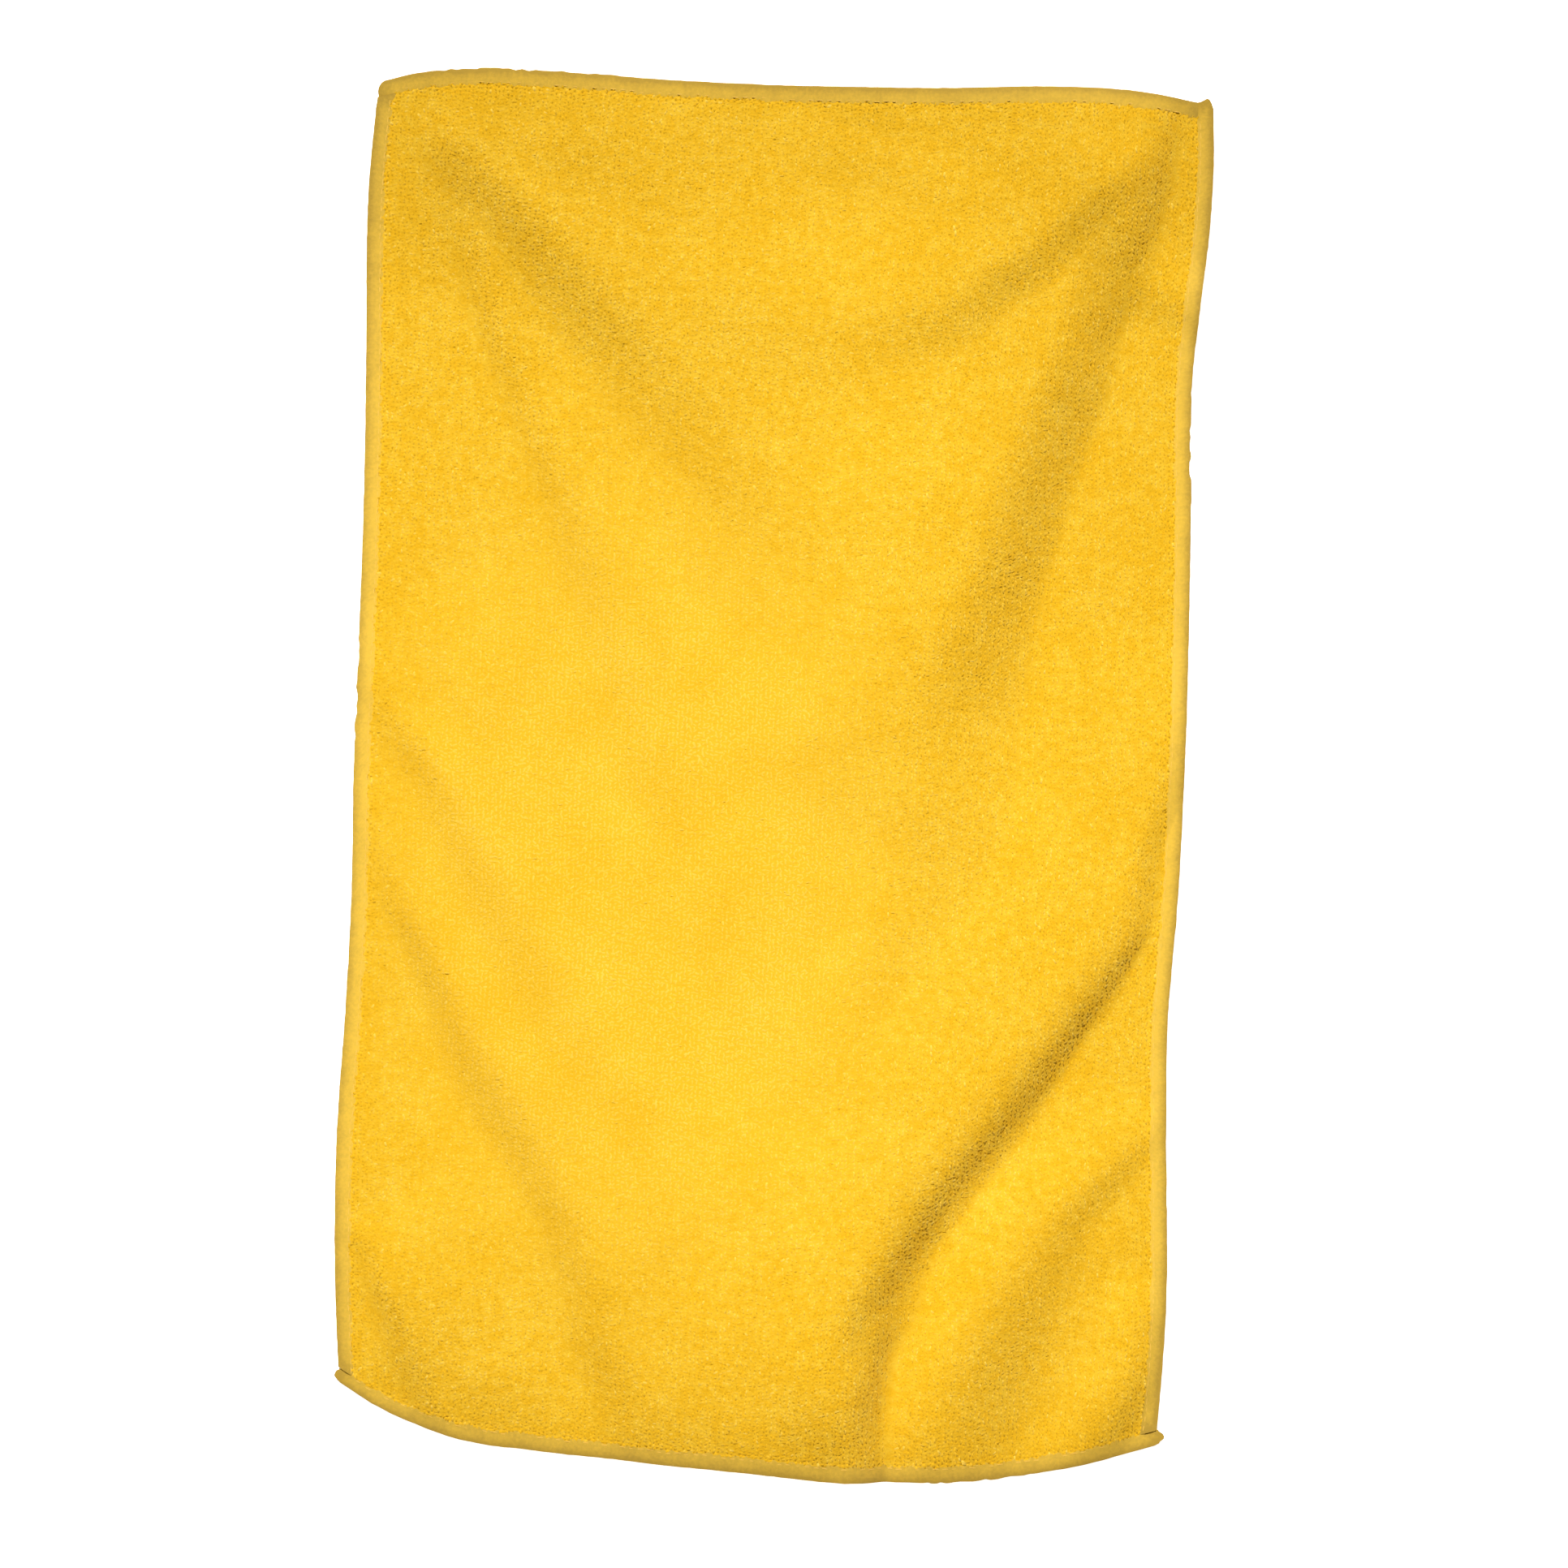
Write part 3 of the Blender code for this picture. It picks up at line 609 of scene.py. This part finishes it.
def ground_sheet(finish):
    """The woven ground with its low pile, as one thin closed sheet on the towel's folds."""
    columns = np.linspace(-WIDTH / 2 + GROUND_INSET, WIDTH / 2 - GROUND_INSET,
                          round(WIDTH / GROUND_CELL))
    rows = np.linspace(-LENGTH / 2 + GROUND_INSET, LENGTH / 2 - GROUND_INSET,
                       round(LENGTH / GROUND_CELL))
    across, along = np.meshgrid(columns, rows)
    x, y = cloth_place(across, along)
    inset = np.minimum(WIDTH / 2 - abs(across), LENGTH / 2 - abs(along))
    pressed = 1 - np.clip((inset - EDGING_WIDTH) / PRESS_REACH, 0, 1)
    top = cloth_points(x, y, GROUND_TOP - PRESSED_DOWN * pressed)
    bottom = cloth_points(x, y, GROUND_BOTTOM + PRESSED_UP * pressed)
    count = len(rows) * len(columns)
    over = lattice(len(rows), len(columns))
    under = over[:, ::-1] + count
    index = np.arange(count).reshape(len(rows), len(columns))
    rim = np.concatenate([index[0], index[1:, -1], index[-1, -2::-1], index[-2:0:-1, 0]])
    next_on_rim = np.roll(rim, -1)
    wall = np.stack([rim, rim + count, next_on_rim + count, next_on_rim], axis=-1)
    points = np.concatenate([top.reshape(-1, 3), bottom.reshape(-1, 3)])
    faces = np.concatenate([over, under, wall])
    # The face of the cloth has the left half of its map, and the underside the right half.
    flat = points[:, :2] / LENGTH + 0.5
    flat[:count, 0] = flat[:count, 0] * 0.5
    flat[count:, 0] = flat[count:, 0] * 0.5 + 0.5
    calm = calm_share(points[:, 0], points[:, 1])
    return new_piece("terry_ground", points, faces, finish, chart=flat[faces], calm=calm)


# ---------------------------------------------------------------------------------------
# The standing loops
# ---------------------------------------------------------------------------------------

LOOP_BANDS = 5
LOOP_SEED = 7

# Where the loops stand: the columns' and rows' pitch, the edging's reach that they keep out
# of, and how far a loop strays from its place.
COLUMN_PITCH = 1.4
ROW_PITCH = 1.24
LOOP_INSET = 4.7
STRAY_ACROSS = 0.16
STRAY_ALONG = 0.24

# One loop: half of its crown's length, how far its foot stands beyond that, half its width,
# the crown's height, and how deep its skirts and its feet lie in the ground. Its outside
# faces away from a heart below it.
LOOP_HALF = 0.46
LOOP_END = 0.42
LOOP_WIDE = 0.44
LOOP_TALL = 0.23
LOOP_SKIRT = 0.16
LOOP_ROOT = 0.30
LOOP_HEART = 0.35

# How far the loops stand in order, all one way, from 0 to 1. It grows to the right, and an
# orderly loop is a little longer and narrower.
ORDER_AT_MIDDLE = 0.15
ORDER_REACH = 140
ORDER_WANDERS = 0.15
ORDER_PATCH = 60.0
MOST_ORDER = 0.85
ORDER_LENGTHENS = 0.15
ORDER_NARROWS = 0.25

# How far a loop is turned, in radians, and leans sideways, as a share of its half width: on
# its own, and together with its neighbours.
WILD_TWIST = 1.35
TWIST_LOST_TO_ORDER = 1.12
SHARED_TWIST = 0.35
TWIST_PATCH = 26.0
LEAN = 0.16
SHARED_LEAN = 0.10
LEAN_PATCH = 34.0

# How fluffy a loop is: at 1, its outside faces as the cloth does.
PILE_FLUFF = 0.60
CALM_FLUFF = 0.84

# Each loop's shade on the way from deep to pale: deeper all over, so that beyond the calm
# middle's painted light the towel's ends lie in painted shade, deeper near the edging, and
# spread at random from loop to loop; and the share of loops that catch the light, as painted
# highlights, and how pale they are.
LOOP_SHADE = -0.20
EDGE_DEEPER = 0.25
EDGE_DEEPER_REACH = 16.0
SHADE_SPREAD = 0.6
SPREAD_LOST_TO_CALM = 0.45
BRIGHT_LOOPS = 0.03
BRIGHT_SHADE = 2.0

WAVES = 7


def wandering(rng, x, y, reach):
    """A number for each place that changes softly over about reach millimetres."""
    turn = rng.uniform(0, 2 * math.pi, WAVES)
    phase = rng.uniform(0, 2 * math.pi, WAVES)
    length = reach * rng.uniform(0.7, 1.6, WAVES)
    total = np.zeros_like(x)
    for i in range(WAVES):
        total += np.sin((x * np.cos(turn[i]) + y * np.sin(turn[i])) * 2 * math.pi / length[i]
                        + phase[i])
    return total / math.sqrt(WAVES / 2)


def loop_roots(rng):
    """Where the loops stand on the nominal rectangle, in columns along the towel."""
    columns = np.arange(-WIDTH / 2 + LOOP_INSET, WIDTH / 2 - LOOP_INSET, COLUMN_PITCH)
    rows = np.arange(-LENGTH / 2 + LOOP_INSET, LENGTH / 2 - LOOP_INSET, ROW_PITCH)
    across, along = np.meshgrid(columns, rows)
    along = along + ROW_PITCH * rng.uniform(0, 1, len(columns))[None, :]
    along = np.minimum(along, LENGTH / 2 - LOOP_INSET)
    across = across + rng.normal(0, STRAY_ACROSS, across.shape)
    along = along + rng.normal(0, STRAY_ALONG, along.shape)
    return across.ravel(), along.ravel()


def loop_points(rng, across, along):
    """The eight points of each loop, and the way that its fluffy outside faces at each.

    A loop is a foot, two rings of three and the other foot, closed, bent over its crown.
    """
    x, y = cloth_place(across, along)
    root = cloth_points(x, y, GROUND_TOP)
    up = cloth_normals(x, y)
    count = len(x)
    order = ORDER_AT_MIDDLE + x / ORDER_REACH + ORDER_WANDERS * wandering(rng, x, y, ORDER_PATCH)
    order = np.clip(order, 0, MOST_ORDER)
    twist = rng.normal(0, WILD_TWIST - TWIST_LOST_TO_ORDER * order)
    twist = twist + SHARED_TWIST * (1 - order) * wandering(rng, x, y, TWIST_PATCH)
    way = np.stack([np.sin(twist), np.cos(twist), np.zeros(count)], axis=-1)
    way = unit(way - up * (way * up).sum(1, keepdims=True))
    side = np.cross(way, up)
    lean = rng.normal(0, LEAN, count) + SHARED_LEAN * wandering(rng, x, y, LEAN_PATCH)
    size = rng.normal(1.0, 0.12, count).clip(0.7, 1.3)[:, None]
    half = LOOP_HALF * size * rng.uniform(0.75, 1.25, count)[:, None]
    half = half * (1 + ORDER_LENGTHENS * order[:, None])
    wide = LOOP_WIDE * size * rng.uniform(0.85, 1.15, count)[:, None]
    wide = wide * (1 - ORDER_NARROWS * order[:, None])
    tall = LOOP_TALL * rng.uniform(0.75, 1.15, count)[:, None]
    tilt = rng.normal(0, 0.06, count)[:, None]
    shift = side * (lean[:, None] * wide)
    points = [root - way * (half + LOOP_END * size) - up * LOOP_ROOT]
    for sign in (-1, 1):
        middle = root + sign * way * half
        points.append(middle + shift + up * (tall + sign * tilt))
        points.append(middle - side * wide - up * LOOP_SKIRT)
        points.append(middle + side * wide - up * LOOP_SKIRT)
    points.append(root + way * (half + LOOP_END * size) - up * LOOP_ROOT)
    points = np.stack(points, axis=1)
    outwards = unit(points - (root - up * LOOP_HEART)[:, None])
    calm = calm_share(x, y)
    fluff = (PILE_FLUFF + (CALM_FLUFF - PILE_FLUFF) * calm)[:, None, None]
    facing = unit(outwards * (1 - fluff) + up[:, None] * fluff)
    return points, facing, calm


# A loop's faces, round its first foot, along its crown and round its second foot, and the
# painted light at each of its points: palest at the crown, less at the feet, and painted shade
# low on its sides, between the loops.
LOOP_FACES = np.array([
    (0, 1, 2), (0, 2, 3), (0, 3, 1),
    (1, 5, 2), (1, 4, 5), (2, 6, 3), (2, 5, 6), (3, 4, 1), (3, 6, 4),
    (7, 5, 4), (7, 6, 5), (7, 4, 6),
])
LOOP_PAINTED_LIGHT = (0.4, 1.0, 0.1, 0.1, 1.0, 0.1, 0.1, 0.4)


def loop_bands(finish):
    """All the loops, in bands of rows from the bottom edge to the top."""
    rng = np.random.default_rng(LOOP_SEED)
    across, along = loop_roots(rng)
    by_row = np.argsort(along, kind="stable")
    across, along = across[by_row], along[by_row]
    points, facing, calm = loop_points(rng, across, along)
    inset = np.minimum(WIDTH / 2 - abs(across), LENGTH / 2 - abs(along))
    near_edge = np.clip(1 - (inset - LOOP_INSET) / EDGE_DEEPER_REACH, 0, 1)
    own_shade = (rng.uniform(0, 1, len(across)) - 0.5) * (SHADE_SPREAD - SPREAD_LOST_TO_CALM * calm)
    # Deeper all over and near the edging, against the calm middle's painted light, spread at
    # random, and a few loops at their palest, as painted highlights.
    tint = LOOP_SHADE - EDGE_DEEPER * near_edge + own_shade
    tint = np.where(rng.uniform(0, 1, len(across)) < BRIGHT_LOOPS, BRIGHT_SHADE, tint)
    bands = []
    for number, chosen in enumerate(np.array_split(np.arange(len(across)), LOOP_BANDS), 1):
        band = points[chosen].reshape(-1, 3)
        first_point = np.arange(len(chosen)) * len(LOOP_PAINTED_LIGHT)
        faces = (LOOP_FACES[None] + first_point[:, None, None]).reshape(-1, 3)
        low = band[:, :2].min(0)
        reach = band[:, :2].max(0) - low
        flat = (band[:, :2] - low) / reach
        bands.append(new_piece(
            f"terry_loops_{number}", band, faces, finish, chart=flat[faces],
            facing=facing[chosen].reshape(-1, 3),
            tip=np.tile(LOOP_PAINTED_LIGHT, len(chosen)),
            tint=np.repeat(tint[chosen], len(LOOP_PAINTED_LIGHT)),
            calm=np.repeat(calm[chosen], len(LOOP_PAINTED_LIGHT)),
        ))
    return bands


# ---------------------------------------------------------------------------------------
# The serged edging
# ---------------------------------------------------------------------------------------

STITCH = 3.0
THREAD_FLUFF = 0.85
RING_STEP = 0.5
SLEEVE_SEED = 100
NEEDLE_SEED = 200

# The parts of the section below that lie unevenly: its top, above a height, its outside, up
# to an inset, and its inside, from an inset on within a reach.
TOP_ABOVE = 1.5
OUTSIDE_REACH = 1.4
INSIDE_FROM, INSIDE_REACH = 4.0, 0.8

# How unevenly the thread lies: a new chance step this often along the edge, and how far it
# moves the outside, a rough stretch, the inside and the top. Each stitch also waves the
# inside.
UNEVEN_STEP = STITCH * 0.7
UNEVEN_OUTSIDE = 0.05
UNEVEN_ROUGH = 0.22
UNEVEN_INSIDE = 0.22
UNEVEN_TOP = 0.03
STITCH_WAVE = 0.20
ROUGH_FADE = 5.0

# The thread is duller towards the ends of a run.
END_DULLER = 0.7
END_DULLER_REACH = 6.0

# The needle's stitches: their inset, the gap between two, half their thickness, the height of
# their ends on the short and on the long sides, how far their middles arch above that, and
# how far each strays sideways, lies aslant and stands higher or lower.
NEEDLE_INSET = 4.55
NEEDLE_GAP = 0.3
NEEDLE_RADIUS = 0.15
NEEDLE_LOW_SHORT = 1.99
NEEDLE_LOW_LONG = 2.10
NEEDLE_ARCH = 0.18
NEEDLE_WANDERS = 0.12
NEEDLE_SLANTS = 0.14
NEEDLE_BOBS = 0.04

# The edging's section over the top from its inner edge, round the outside and back under:
# (inset from the edge, height, how much painted shade darkens the thread there).
SLEEVE_SECTION = (
    (5.5, 1.80, 0.0), (5.0, 2.12, 0.0), (4.3, 2.32, 0.0), (3.4, 2.47, 0.04),
    (2.4, 2.55, 0.20), (1.6, 2.52, 0.42), (0.9, 2.38, 0.60), (0.4, 2.08, 0.80),
    (0.12, 1.55, 1.0), (0.08, 1.0, 1.0), (0.35, 0.45, 0.9), (1.0, 0.14, 0.7),
    (2.2, 0.05, 0.4), (3.7, 0.05, 0.2), (4.9, 0.6, 0.1),
)

# Each run of edging: the way that it faces, how much painted shade darkens its thread, set
# against how the light falls on that side, as rows of (place along the edge, shade), how many
# times the section's own painted shade is added to that, where it starts and stops, as insets
# from the corners of its side, and its ends' shapes, as rows of (inset from the edge, how far
# the end reaches beyond its plain place). rough is the stretch where the threads stand out
# unevenly.
Run = namedtuple("Run", "name side outwards dull_all dull_section start_inset end_inset"
                 " start_shape end_shape rough")
PLAIN_END = ((0, 0), (5, 0))
RUNS = (
    Run("overlock_top", "top", (0, 1, 0), ((-134, 0.38), (134, 0.32)), 1.1, 0.6, BUTT_INSET,
        ((0, -1.6), (0.8, -0.5), (2.0, 0.2), (3.5, 0.3), (5, 0.0)), PLAIN_END, (-110, -60)),
    Run("overlock_right", "right", (1, 0, 0),
        ((-222, 0.5), (-190, 0.3), (-150, 0.03), (130, 0.03), (180, 0.2), (222, 0.3)),
        1.25, BUTT_INSET, 0.0, PLAIN_END,
        ((0, -1.6), (0.9, 0.4), (1.9, 1.9), (2.8, 1.3), (4.2, 0.2), (5.2, -0.3)),
        (92, 124)),
    Run("overlock_bottom", "bottom", (0, -1, 0), ((-134, 0.5), (134, 0.5)), 0.8, 0.0, 0.0,
        ((0, -0.6), (1.2, 0.7), (2.4, 1.3), (3.6, 0.9), (5, -0.4)),
        ((0, -0.8), (0.8, 0.7), (1.5, 0.9), (2.1, 2.0), (3.2, 2.5), (3.9, 1.9), (5, 0.2)),
        (60, 90)),
    Run("overlock_left", "left", (-1, 0, 0),
        ((-222, 0.35), (-150, 0.08), (80, 0.03), (130, 0.18), (180, 0.38), (222, 0.4)),
        0.9, BUTT_INSET, BUTT_INSET, PLAIN_END, PLAIN_END, (0, 30)),
)


def run_points(run, stations, insets, rises):
    """Points of the edging at stations along its side, by their inset and height."""
    x, y = cloth_place(*np.broadcast_arrays(*side_place(run.side, stations, insets)))
    return cloth_points(x, y, rises)


def run_facing(run, stations, insets, rises):
    """The way that the edging's soft, fuzzy outside faces, between square and upwards."""
    x, y = cloth_place(*np.broadcast_arrays(*side_place(run.side, stations, insets)))
    up = cloth_normals(x, y)
    step_in = np.roll(insets, -1, axis=1) - np.roll(insets, 1, axis=1)
    step_up = np.roll(rises, -1, axis=1) - np.roll(rises, 1, axis=1)
    length = np.hypot(step_in, step_up)
    square = (up * (-step_in / length)[..., None]
              - np.array(run.outwards) * (step_up / length)[..., None])
    fluff = THREAD_FLUFF * np.clip(rises / TOP_ABOVE, 0, 1)[..., None]
    return unit(square * (1 - fluff) + up * fluff)


def sleeve_faces(rings, sides):
    """The triangles of a closed sleeve of rings. Its two end points are counted last."""
    first = np.arange(sides)
    last = first + (rings - 1) * sides
    first_tip = rings * sides
    quads = lattice(rings, sides, wrap_columns=True)
    return np.concatenate([
        quads[:, [0, 1, 2]], quads[:, [0, 2, 3]],
        np.stack([np.roll(first, -1), first, np.full(sides, first_tip)], axis=-1),
        np.stack([last, np.roll(last, -1), np.full(sides, first_tip + 1)], axis=-1),
    ])


def edging_sleeve(run, number, finish):
    """One run of thread laid across the edge, a little uneven, with its ends' own shapes."""
    rng = np.random.default_rng(SLEEVE_SEED + number)
    half = (LENGTH if run.side in ("left", "right") else WIDTH) / 2
    inset, rise, dull = np.array(SLEEVE_SECTION).T
    start = -half + run.start_inset - np.interp(inset, *zip(*run.start_shape))
    end = half - run.end_inset + np.interp(inset, *zip(*run.end_shape))
    count = round(2 * half / RING_STEP)
    stations = start + (end - start) * np.linspace(0, 1, count)[:, None]
    knots = np.arange(-half - 2 * STITCH, half + 3 * STITCH, UNEVEN_STEP)
    uneven = np.interp(stations, knots, rng.normal(0, 1, len(knots)))
    stitches = np.cos(stations * 2 * math.pi / STITCH)
    low, high = run.rough
    past_rough = abs(stations - (low + high) / 2) - (high - low) / 2
    rough = np.clip(1 - past_rough / ROUGH_FADE, 0, 1)
    outside = np.clip(1 - inset / OUTSIDE_REACH, 0, 1)
    inside = np.clip((inset - INSIDE_FROM) / INSIDE_REACH, 0, 1)
    out_rough = UNEVEN_ROUGH * rough * np.clip(uneven, -1, 2)
    insets = (inset + outside * (UNEVEN_OUTSIDE * uneven + out_rough)
              + inside * (STITCH_WAVE * stitches + UNEVEN_INSIDE * uneven))
    rises = rise + (rise > TOP_ABOVE) * UNEVEN_TOP * uneven
    points = run_points(run, stations, insets, rises)
    facing = run_facing(run, stations, insets, rises)
    triangles = sleeve_faces(count, len(inset))
    if run.side in ("left", "top"):
        triangles = triangles[:, ::-1]
    points = np.concatenate([points.reshape(-1, 3), points[0].mean(0)[None],
                             points[-1].mean(0)[None]])
    facing = np.concatenate([facing.reshape(-1, 3), [(0, 0, 1), (0, 0, 1)]])
    laid = np.zeros((len(points), 3))
    laid[:-2, 0] = stations.ravel() * MM
    at_end = np.minimum(stations - start, end - stations)
    end_dull = END_DULLER * np.clip(1 - at_end / END_DULLER_REACH, 0, 1)
    # Painted shade round the section's outside, set for each run against how the light falls on it,
    # and the thread duller towards the run's ends.
    shaded_and_dulled = np.maximum(dull * run.dull_section, end_dull)
    shaded_and_dulled = shaded_and_dulled + np.interp(stations, *zip(*run.dull_all))
    shaded_and_dulled = np.append(shaded_and_dulled.ravel(), (1.0, 1.0))
    return new_piece(run.name + "_thread", points, triangles, finish, facing=facing,
                     run=laid, dull=shaded_and_dulled)


def needle_line(run, number, finish):
    """The needle's stitches along the inside of one run, each a short arched length."""
    rng = np.random.default_rng(NEEDLE_SEED + number)
    length = LENGTH if run.side in ("left", "right") else WIDTH
    start = -length / 2 + max(run.start_inset, EDGING_WIDTH) + NEEDLE_GAP
    end = length / 2 - max(run.end_inset, EDGING_WIDTH) - NEEDLE_GAP
    count = int((end - start) / STITCH)
    first = start + np.arange(count) * STITCH
    share = np.linspace(0, 1, 6)
    sides = 5
    stations = first[:, None] + NEEDLE_GAP / 2 + share[None] * (STITCH - NEEDLE_GAP)
    wander = rng.normal(0, NEEDLE_WANDERS, (count, 1))
    slant = rng.normal(0, NEEDLE_SLANTS, (count, 1))
    insets = NEEDLE_INSET + wander + slant * (share[None] - 0.5)
    arch = np.sin(share * math.pi) ** 0.5
    low = NEEDLE_LOW_SHORT if run.side in ("top", "bottom") else NEEDLE_LOW_LONG
    rises = low + NEEDLE_ARCH * arch[None] + rng.normal(0, NEEDLE_BOBS, (count, 1))
    taper = 0.25 + 0.75 * arch[None]
    radius = NEEDLE_RADIUS * taper * rng.uniform(0.8, 1.2, (count, 1))
    turn = np.arange(sides) * 2 * math.pi / sides
    ring_inset = insets[:, :, None] + radius[:, :, None] * np.cos(turn)
    ring_rise = rises[:, :, None] + radius[:, :, None] * np.sin(turn)
    ring_station = np.broadcast_to(stations[:, :, None], ring_inset.shape)
    points = run_points(run, ring_station, ring_inset, ring_rise).reshape(-1, 3)
    facing = cloth_normals(*cloth_place(*side_place(run.side, ring_station, ring_inset)))
    one = lattice(len(share), sides, wrap_columns=True)
    one = np.concatenate([one[:, [0, 1, 2]], one[:, [0, 2, 3]]])
    fan = np.array([(0, i + 1, i) for i in range(1, sides - 1)])
    one = np.concatenate([one, fan, fan[:, ::-1] + (len(share) - 1) * sides])
    if run.side in ("left", "top"):
        one = one[:, ::-1]
    shift = np.arange(count) * len(share) * sides
    faces = (one[None] + shift[:, None, None]).reshape(-1, 3)
    return new_piece(run.name + "_needle_line", points, faces, finish,
                     facing=facing.reshape(-1, 3))


# ---------------------------------------------------------------------------------------
# The table, the light and the camera
# ---------------------------------------------------------------------------------------

TABLE_SIZE = 40.0
TABLE_GLOW = 0.96
TABLE_GRAIN = 40.0
TABLE_WHITES = (colour(0.88, 0.88, 0.88), colour(0.90, 0.90, 0.90))

# What the camera takes in across, at the middle height of the towel's face, in metres, and
# its lens and sensor, in millimetres. It is turned as the towel lies.
PICTURE_WIDTH = 0.5062
FACE_HEIGHT = 0.005
LENS = 100.0
SENSOR = 36.0
TURN = math.radians(1.8)
LOOK_AT = Vector((0.00426, -0.00144, 0.0))

# The key light stands beyond the towel's top edge, a little to the left, and aims just below
# the middle. Its narrow cone is stretched sideways and fades softly outwards.
KEY_AZIMUTH = math.radians(9)
KEY_HEIGHT = math.radians(43)
KEY_DISTANCE = 5.0
KEY_AIM = Vector((0.0, -0.035, 0.0))
KEY_CONE = math.radians(5.7)
KEY_WIDER = 2.95
KEY_SIZE = 0.35
KEY_POWER = 2900.0
FILL_STRENGTH = 0.15
FILL_COLOUR = colour(1.0, 0.80, 0.58)


def lay_table():
    """A plain white table that glows a little, so that it stays white in the shade."""
    table = Finish(
        "white_table", Roughness=0.8, Specular_IOR_Level=0.2,
        Emission_Color=colour(1.0, 1.0, 1.0), Emission_Strength=TABLE_GLOW,
    )
    grain = table.noise(table.place(), TABLE_GRAIN)
    shade = table.mixed(grain, *TABLE_WHITES)
    half = TABLE_SIZE / 2 / MM
    points = np.array([(-half, -half, 0), (half, -half, 0), (half, half, 0), (-half, half, 0)])
    obj = new_piece("table", points, np.array([(0, 1, 2, 3)]), table.wear(Base_Color=shade))


def light_room():
    """A weak warm fill all round, and one broad soft key light."""
    world = bpy.data.worlds.new("soft_room")
    world.use_nodes = True
    sky = world.node_tree.nodes["Background"]
    sky.inputs["Color"].default_value = FILL_COLOUR
    sky.inputs["Strength"].default_value = FILL_STRENGTH
    bpy.context.scene.world = world
    lamp = bpy.data.lights.new("key_spot", "SPOT")
    lamp.spot_size = KEY_CONE
    lamp.spot_blend = 1.0
    lamp.shadow_soft_size = KEY_SIZE
    lamp.energy = KEY_POWER
    key = bpy.data.objects.new("key_spot", lamp)
    flat = math.cos(KEY_HEIGHT)
    towards = Vector((-math.sin(KEY_AZIMUTH) * flat, math.cos(KEY_AZIMUTH) * flat,
                      math.sin(KEY_HEIGHT)))
    key.location = KEY_AIM + towards * KEY_DISTANCE
    key.rotation_mode = "QUATERNION"
    key.rotation_quaternion = towards.to_track_quat("Z", "Y")
    key.scale = (KEY_WIDER, 1.0, 1.0)
    bpy.context.scene.collection.objects.link(key)


def set_camera():
    """A camera straight above the towel, turned as the towel lies."""
    lens = bpy.data.cameras.new("camera")
    lens.lens = LENS
    lens.sensor_width = SENSOR
    distance = PICTURE_WIDTH * LENS / SENSOR
    camera = bpy.data.objects.new("camera", lens)
    place = LOOK_AT + Vector((0, 0, distance + FACE_HEIGHT))
    camera.matrix_world = Matrix.Translation(place) @ Matrix.Rotation(TURN, 4, "Z")
    bpy.context.scene.collection.objects.link(camera)
    bpy.context.scene.camera = camera


def set_picture():
    """Plain colours, with no film look over them."""
    view = bpy.context.scene.view_settings
    view.view_transform = "Standard"
    view.look = "None"
    view.exposure = 0.0
    view.gamma = 1.0


def dress_towel():
    """The whole towel: its ground, loops and edging, in place of the part's solids."""
    ground = ground_sheet(ground_finish())
    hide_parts("terry_panel")
    loops = loop_bands(pile_finish())
    thread = thread_finish()
    needle = needle_finish()
    edging = []
    for number, run in enumerate(RUNS):
        sleeve = edging_sleeve(run, number, thread)
        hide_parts(run.name)
        edging += [sleeve, needle_line(run, number, needle)]
    for piece in (ground, *loops):
        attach(piece, "root")
    for piece in edging:
        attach(piece, "root")


set_picture()
set_camera()
lay_table()
light_room()
dress_towel()
